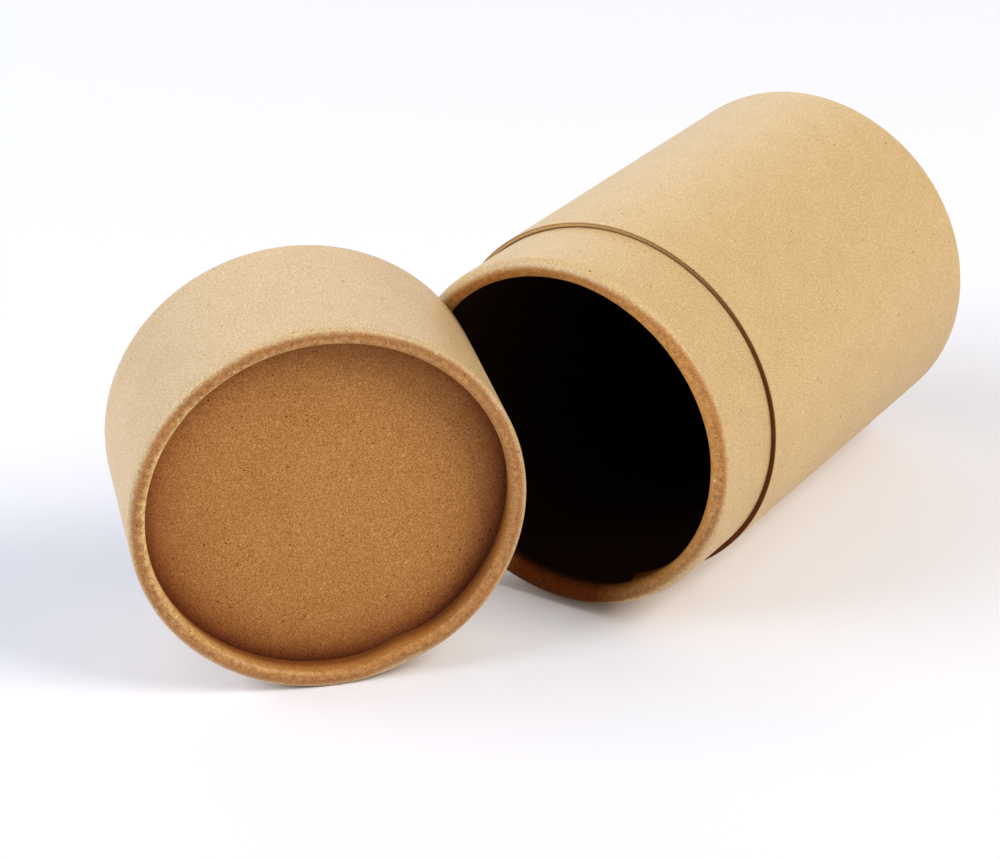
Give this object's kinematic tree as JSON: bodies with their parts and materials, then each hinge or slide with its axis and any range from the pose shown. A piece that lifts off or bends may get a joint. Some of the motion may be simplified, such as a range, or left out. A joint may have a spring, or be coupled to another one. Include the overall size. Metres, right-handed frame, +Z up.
{
  "type": "kraft paper tube",
  "caption": "Round kraft paper packing tube with a rolled mouth and a slip lid, shown open on its side with the lid leaning in its mouth.",
  "frame": {"origin": "on the ground under the middle of the whole, tube and lid together", "axes": "+Y along the tube's axis from its mouth to its foot, +Z up, +X to the right as seen from in front of the mouth"},
  "size_m": [0.1084, 0.1761, 0.073],
  "materials": {
    "kraft_wrap": "smooth uncoated kraft paper with fine light and dark fibre flecks",
    "kraft_neck": "smooth uncoated kraft paper, browner and mottled where it is rolled in at the lip",
    "disc_board": "uncoated brown kraft board with visible fibres"
  },
  "bodies": {
    "root": {"outer_tube": "kraft_wrap", "inner_tube": "kraft_neck", "base_disc": "disc_board", "lid_shell": "kraft_wrap", "lid_disc": "disc_board"}
  },
  "joints": []
}
